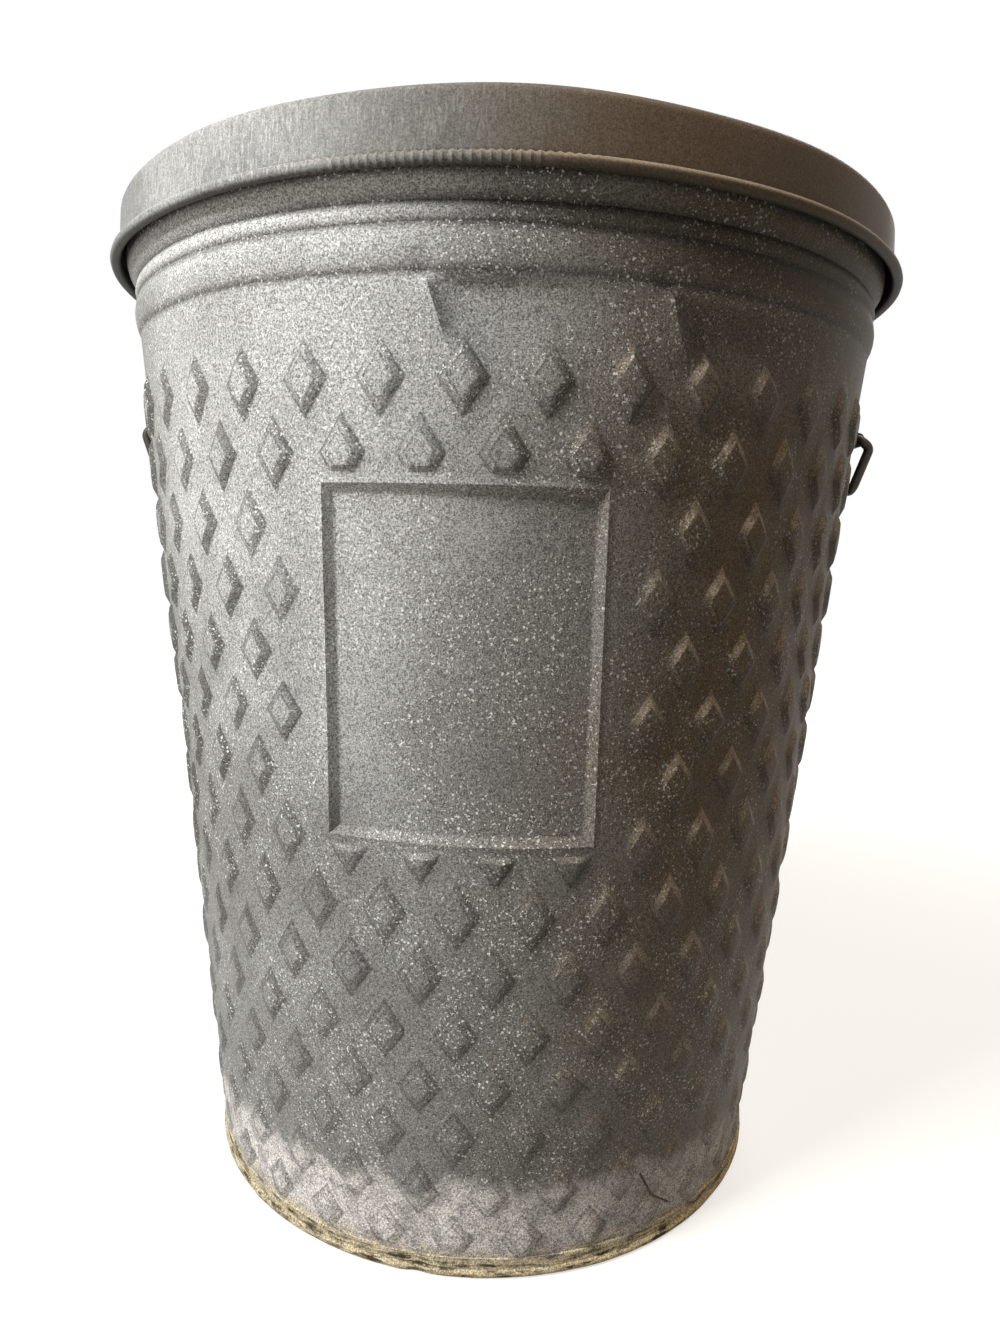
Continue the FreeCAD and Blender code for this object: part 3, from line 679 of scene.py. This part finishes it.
class Paint:
    def __init__(self, owner):
        owner.use_nodes = True
        self.tree = owner.node_tree
        self.tree.nodes.clear()

    def add(self, kind, settings=None, sockets=None, output=0):
        node = self.tree.nodes.new(kind)
        for name, value in (settings or {}).items():
            setattr(node, name, value)
        for name, value in (sockets or {}).items():
            if isinstance(value, Wire):
                self.tree.links.new(value.socket, node.inputs[name])
            else:
                node.inputs[name].default_value = value
        return Wire(self, node.outputs[output]) if node.outputs else node

    def maths(self, operation, first, second):
        return self.add("ShaderNodeMath", {"operation": operation}, {0: first, 1: second})

    def blend(self, share, first, second, way="MIX"):
        settings = {"data_type": "RGBA", "blend_type": way}
        return self.add("ShaderNodeMix", settings, {0: share, 6: first, 7: second}, output=2)

    def between(self, value, low, high):  # 0 at low, 1 at high, smooth between
        settings = {"interpolation_type": "SMOOTHSTEP"}
        return self.add("ShaderNodeMapRange", settings, {0: value, 1: low, 2: high})

    def noise(self, spot, scale, detail=2.0, rough=0.5):
        sockets = {"Vector": spot, "Scale": scale, "Detail": detail, "Roughness": rough}
        return self.add("ShaderNodeTexNoise", None, sockets)

    def stroke(self, x, z, start, end, width):  # 1 on a straight line, 0 beside it
        run = (end[0] - start[0], end[1] - start[1])
        share = ((x - start[0]) * run[0] + (z - start[1]) * run[1]) / (run[0] ** 2 + run[1] ** 2)
        share = self.add("ShaderNodeClamp", None, {0: share})
        across = x - share * run[0] - start[0]
        up = z - share * run[1] - start[1]
        return 1 - self.between(across * across + up * up, (0.3 * width) ** 2, width ** 2)

    def cells(self, spot, scale, output=0):
        return self.add("ShaderNodeTexVoronoi", None, {"Vector": spot, "Scale": scale}, output)


def shade(red, green, blue):
    return (red, green, blue, 1)


zinc = {
    "pale": shade(0.43, 0.435, 0.43),
    "dull": shade(0.27, 0.27, 0.265),
    # pale scratches, also used as painted light
    "brightAndLit": shade(0.60, 0.60, 0.59),
    "fleck": shade(0.86, 0.87, 0.86),
    # brown tarnish, also used as painted shade on the right side
    "tarnishAndShade": shade(0.108, 0.073, 0.043),
    # dark grime, also used as painted shade
    "grimeAndShade": shade(0.105, 0.100, 0.090),
    "chalk": shade(0.70, 0.665, 0.645),
    "chalkDark": shade(0.42, 0.40, 0.395),
    "tan": shade(0.60, 0.52, 0.36),
    # dried soil, also used as painted shade on the neck
    "soilAndShade": shade(0.070, 0.053, 0.034),
    # colour of a painted highlight
    "paintedGlint": shade(0.36, 0.30, 0.23),
    # dark lines: cracks, dirt and painted shade
    "line": shade(0.045, 0.041, 0.036),
}
cracks = (  # half width, and the places across and up that each runs through
    (0.0008, ((0.1029, 0.0512), (0.1099, 0.0350), (0.1214, 0.0222))),
    (0.0005, ((0.0567, 0.1249), (0.0643, 0.1214), (0.0716, 0.1135))),
)


def zincPaint(name, grains=0.6, flecks=1.0, streaks=0.0, tarnishAndShade=0.6, stainAndShadeSpan=(0.00, 0.13), grimeAndShade=0.0,
              chalk=0.0, tan=0.0, outlined=0.0, tone=1.0):
    material = bpy.data.materials.new(name)
    paint = Paint(material)
    spot = paint.add("ShaderNodeTexCoord", output=3)
    x = paint.add("ShaderNodeSeparateXYZ", None, {0: spot}, 0)
    y = paint.add("ShaderNodeSeparateXYZ", None, {0: spot}, 1)
    z = paint.add("ShaderNodeSeparateXYZ", None, {0: spot}, 2)
    clouds = paint.noise(spot, 13, 4, 0.6)
    grain = paint.noise(spot, 1400, 1, 0.5)
    mottle = paint.noise(spot, 720, 2, 0.6)
    colour = paint.blend(paint.between(clouds, 0.32, 0.68), zinc["dull"], zinc["pale"])
    if streaks:
        longWays = paint.add("ShaderNodeMapping", None, {0: spot, "Scale": (1, 1, 0.16)})
        scratch = paint.between(paint.noise(longWays, 900, 3, 0.7), 0.48, 0.66)
        colour = paint.blend(scratch * streaks, colour, zinc["brightAndLit"])
        dark = paint.between(paint.noise(longWays, 420, 3, 0.6), 0.50, 0.72)
        colour = paint.blend(dark * 0.6 * streaks, colour, zinc["grimeAndShade"])
    if grimeAndShade:  # painted shade: the wall darker towards the floor, where less light reaches; painted light: brighter under the neck; and a darker patch low on the left
        lowShade = (1 - paint.between(z, 0.03, 0.42)) * (clouds * 0.85 + 0.08) * grimeAndShade
        colour = paint.blend(lowShade, colour, zinc["grimeAndShade"])
        patch = (1 - paint.between(x, -0.13, -0.03)) * paint.between(z, 0.17, 0.23)
        patch = patch * (1 - paint.between(z, 0.27, 0.33)) * 0.42 * grimeAndShade
        colour = paint.blend(patch, colour, zinc["grimeAndShade"])
        colour = paint.blend(paint.between(z, 0.28, 0.47) * 0.36 * grimeAndShade, colour, zinc["brightAndLit"])
    wander = x + (clouds - 0.5) * 0.14
    ageAndShade = (paint.between(z, 0, 0.3) * 0.5 + 0.5) * tarnishAndShade  # less towards the floor
    if grimeAndShade:
        ageAndShade = ageAndShade * (1 - paint.between(z, 0.44, 0.49) * (1 - paint.between(z, 0.516, 0.53)) * 0.15)
    # painted shade: the right half darker, as it turns away from the key lamp
    rightShade = paint.between(wander, stainAndShadeSpan[0] - 0.048, stainAndShadeSpan[0] + 0.022) * ageAndShade
    colour = paint.blend(rightShade * 0.62, colour, zinc["grimeAndShade"])
    # painted shade: the far left rim darker, where the wall turns away from the light
    edge = (1 - paint.between(x, -0.202, -0.152)) * 0.64 * tarnishAndShade
    colour = paint.blend(edge, colour, zinc["grimeAndShade"])
    # brown tarnish and painted shade on the right side
    stainAndShade = paint.between(wander, *stainAndShadeSpan) * ageAndShade
    colour = paint.blend(stainAndShade, colour, zinc["tarnishAndShade"])
    rough = mottle * 0.16 + 0.42
    if chalk:  # pale corrosion with a ragged upper edge
        ragged = paint.noise(spot, 45, 6, 0.7)
        band = 1 - paint.between(z + (ragged - 0.5) * 0.055, 0.050, 0.062)
        blotches = paint.between(paint.noise(spot, 90, 4, 0.6), 0.35, 0.6)
        chalky = paint.blend(blotches, zinc["chalkDark"], zinc["chalk"])
        colour = paint.blend(band * (0.95 - stainAndShade * 0.65) * chalk, colour, chalky)
        rough = rough + band * 0.3
    if grimeAndShade:  # painted light on the neck band just under the lid, soot and painted shade on the neck's right side, and two cracks in the finish
        colour = paint.blend(paint.between(z, 0.532, 0.548) * (1 - rightShade) * 0.85, colour, zinc["brightAndLit"])
        sootAndShade = paint.between(z, 0.516, 0.545) * (stainAndShade * 0.7 + rightShade * 0.15)
        colour = paint.blend(sootAndShade, colour, zinc["soilAndShade"])
        for width, spots in cracks:
            for start, end in zip(spots, spots[1:]):
                crack = paint.stroke(x, z, start, end, width) * (1 - paint.between(y, -0.05, -0.04))
                colour = paint.blend(crack * 0.9, colour, zinc["line"])
    if outlined:  # painted shade in the valleys of the neck and under the lid, dirt and painted shade round the diamonds, painted shade over and under the lid's roll; a painted highlight where outlines face up
        dirtAndShade = paint.add("ShaderNodeAttribute", {"attribute_name": "dirtAndShade"}, None, 2)
        colour = paint.blend(dirtAndShade * outlined, colour, zinc["line"])
        # a painted highlight, on the right side only
        paintedGlint = paint.add("ShaderNodeAttribute", {"attribute_name": "paintedGlint"}, None, 2)
        colour = paint.blend(paintedGlint * stainAndShade * 0.7, colour, zinc["paintedGlint"])
    if tan:  # rust and dried soil along the hem
        crust = paint.noise(spot, 110, 5, 0.7)
        low = 1 - paint.between(z + (crust - 0.5) * 0.022, 0.009, 0.022)
        flatWays = paint.add("ShaderNodeMapping", None, {0: spot, "Scale": (0.14, 0.14, 1)})
        lines = paint.between(paint.noise(flatWays, 420, 4, 0.7) + (crust - 0.5) * 0.5, 0.44, 0.66)
        colour = paint.blend(low * tan, colour, paint.blend(lines, zinc["tan"], zinc["soilAndShade"]))
        rough = rough + low * 0.3
    speckle = paint.between(grain, 0.40, 0.60) * 0.6 + paint.between(mottle, 0.36, 0.64) * 0.4
    low, high = tone * (1 - grains), tone * (1 + grains)
    dapple = paint.blend(speckle, shade(low, low, low), shade(high, high, high))
    colour = paint.blend(1.0, colour, dapple, "MULTIPLY")
    patches = paint.between(paint.noise(spot, 26, 3), 0.36, 0.66)
    fleck = paint.between(paint.noise(spot, 700, 2, 0.6), 0.61, 0.67)
    fleck = fleck + (1 - paint.between(paint.cells(spot, 230), 0.12, 0.22)) * 0.7
    fleck = paint.between(fleck * (patches * 0.85 + 0.3) * flecks, 0.1, 0.9)
    colour = paint.blend(fleck * (0.9 - stainAndShade * 0.55), colour, zinc["fleck"])
    bump = paint.add("ShaderNodeBump", None, {"Strength": 0.3, "Distance": 0.0003, "Height": grain + mottle * 0.8})
    shader = paint.add("ShaderNodeBsdfPrincipled", None, {
        "Base Color": colour, "Roughness": rough - fleck * 0.08, "Metallic": 0.0, "Specular IOR Level": 0.08,
        "Normal": bump})
    paint.add("ShaderNodeOutputMaterial", None, {"Surface": shader})
    return material


def wirePaint(name):
    material = bpy.data.materials.new(name)
    paint = Paint(material)
    spot = paint.add("ShaderNodeTexCoord", output=3)
    crust = paint.noise(spot, 260, 5, 0.7)
    wear = paint.between(paint.noise(spot, 90, 4, 0.6), 0.55, 0.75)
    colour = paint.blend(paint.between(crust, 0.35, 0.7), shade(0.016, 0.013, 0.011), shade(0.060, 0.036, 0.020))
    colour = paint.blend(wear * 0.5, colour, shade(0.16, 0.13, 0.10))
    bump = paint.add("ShaderNodeBump", None, {"Strength": 0.5, "Distance": 0.0004, "Height": crust})
    shader = paint.add("ShaderNodeBsdfPrincipled", None, {
        "Base Color": colour, "Roughness": crust * 0.3 + 0.4, "Metallic": 0.2, "Normal": bump})
    paint.add("ShaderNodeOutputMaterial", None, {"Surface": shader})
    return material


def dress(piece, material):
    piece.data.materials.clear()
    piece.data.materials.append(material)


bodyZinc = zincPaint("weathered_zinc", tarnishAndShade=0.9, grimeAndShade=1.0, chalk=1.0, tan=0.7, outlined=0.75)
lidZinc = zincPaint("streaked_zinc", grains=0.3, flecks=0.25, streaks=0.7, tarnishAndShade=0.9, stainAndShadeSpan=(-0.045, 0.07),
                    outlined=0.85, tone=0.92)
hoopZinc = zincPaint("rusty_zinc", flecks=0.2, chalk=0.8, tan=1.0)
dullZinc = zincPaint("dull_zinc", flecks=0.4, tarnishAndShade=0.4, tone=0.8)
bailSteel = wirePaint("rusted_wire")
for piece, material in ((body, bodyZinc), (cover, lidZinc), (band, hoopZinc)):
    dress(piece, material)
for name, node in nodes.items():
    dress(node, bailSteel if name.endswith("bail") else dullZinc)
print("finishes", len(bpy.data.materials))

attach(body, "can")
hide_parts("body_shell")
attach(cover, "lid")
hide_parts("lid_pan")
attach(band, "can")
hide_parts("base_hoop")


# Studio: pale floor, white surround, soft light from the upper left, weak warm light from the upper right

studio = {
    "floor": 6.0,
    "floorShade": shade(0.40, 0.40, 0.39),
    "floorGlow": (0.66, 1.0),  # close to the can, and far away
    "ambient": 0.010,
    "aim": 0.3,  # the lamps point at this height
    "camera": (0.0498, -0.6333, 0.3998),
    "turn": 4.19,  # degrees, to the left
    "down": 7.43,
    "roll": 1.64,
    "lens": 32.4,
    "film": 36,
    "lamps": (  # name, bearing from the front in degrees, height, distance, size, watts, colour
        ("key", -48, 1.50, 1.70, 0.6, 57, (1, 0.985, 0.955)),
        ("top", 62, 2.6, 0.78, 0.6, 24, (1, 0.76, 0.50)),
        ("back", 160, 1.60, 1.80, 1.2, 26, (1, 0.93, 0.84)),
    ),
}


def seenDirectly(paint):  # camera, glossy and glass rays see the pale surround
    rays = [paint.add("ShaderNodeLightPath", output=index) for index in (0, 3, 6)]
    return paint.add("ShaderNodeClamp", None, {0: rays[0] + rays[1] + rays[2]})


def makeFloor():
    clearPick()
    bpy.ops.mesh.primitive_plane_add(size=studio["floor"])
    floor = newPiece("studio_floor")
    material = bpy.data.materials.new("pale_floor")
    paint = Paint(material)
    matt = paint.add("ShaderNodeBsdfDiffuse", None, {"Color": studio["floorShade"]})
    spot = paint.add("ShaderNodeTexCoord", output=3)
    away = paint.add("ShaderNodeVectorMath", {"operation": "LENGTH"}, {0: spot}, output=1)
    near, far = studio["floorGlow"]
    level = paint.between(away, 0.4, 1.8) * (far - near) + near
    glow = paint.add("ShaderNodeEmission", None, {"Strength": seenDirectly(paint) * level})
    both = paint.add("ShaderNodeAddShader", None, {0: matt, 1: glow})
    paint.add("ShaderNodeOutputMaterial", None, {"Surface": both})
    dress(floor, material)


def makeLight():
    world = bpy.data.worlds.new("studio")
    bpy.context.scene.world = world
    paint = Paint(world)
    strength = seenDirectly(paint) * (1 - studio["ambient"]) + studio["ambient"]
    sky = paint.add("ShaderNodeBackground", None, {"Color": shade(1, 1, 1), "Strength": strength})
    paint.add("ShaderNodeOutputWorld", None, {"Surface": sky})
    middle = Vector((0, 0, studio["aim"]))
    for name, bearing, height, distance, size, watts, colour in studio["lamps"]:
        angle = math.radians(bearing)
        place = (distance * math.sin(angle), -distance * math.cos(angle), height)
        bpy.ops.object.light_add(type="AREA", location=place)
        lamp = bpy.context.object
        lamp.name = name
        lamp.data.energy = watts
        lamp.data.size = size
        lamp.data.color = colour
        lamp.rotation_euler = (lamp.location - middle).to_track_quat("Z", "Y").to_euler()


def makeCamera():
    bpy.ops.object.camera_add(location=studio["camera"])
    camera = bpy.context.object
    camera.data.sensor_fit = "HORIZONTAL"
    camera.data.sensor_width = studio["film"]
    camera.data.lens = studio["lens"]
    tilt = Matrix.Rotation(math.radians(90 - studio["down"]), 4, "X")
    aim = Matrix.Rotation(math.radians(studio["turn"]), 4, "Z") @ tilt
    camera.matrix_world = Matrix.Translation(studio["camera"]) @ aim @ Matrix.Rotation(
        math.radians(studio["roll"]), 4, "Z")
    bpy.context.scene.camera = camera


clearPick()
makeFloor()
makeLight()
makeCamera()
bpy.context.scene.view_settings.view_transform = "Standard"
print("studio", len(studio["lamps"]), "lamps")
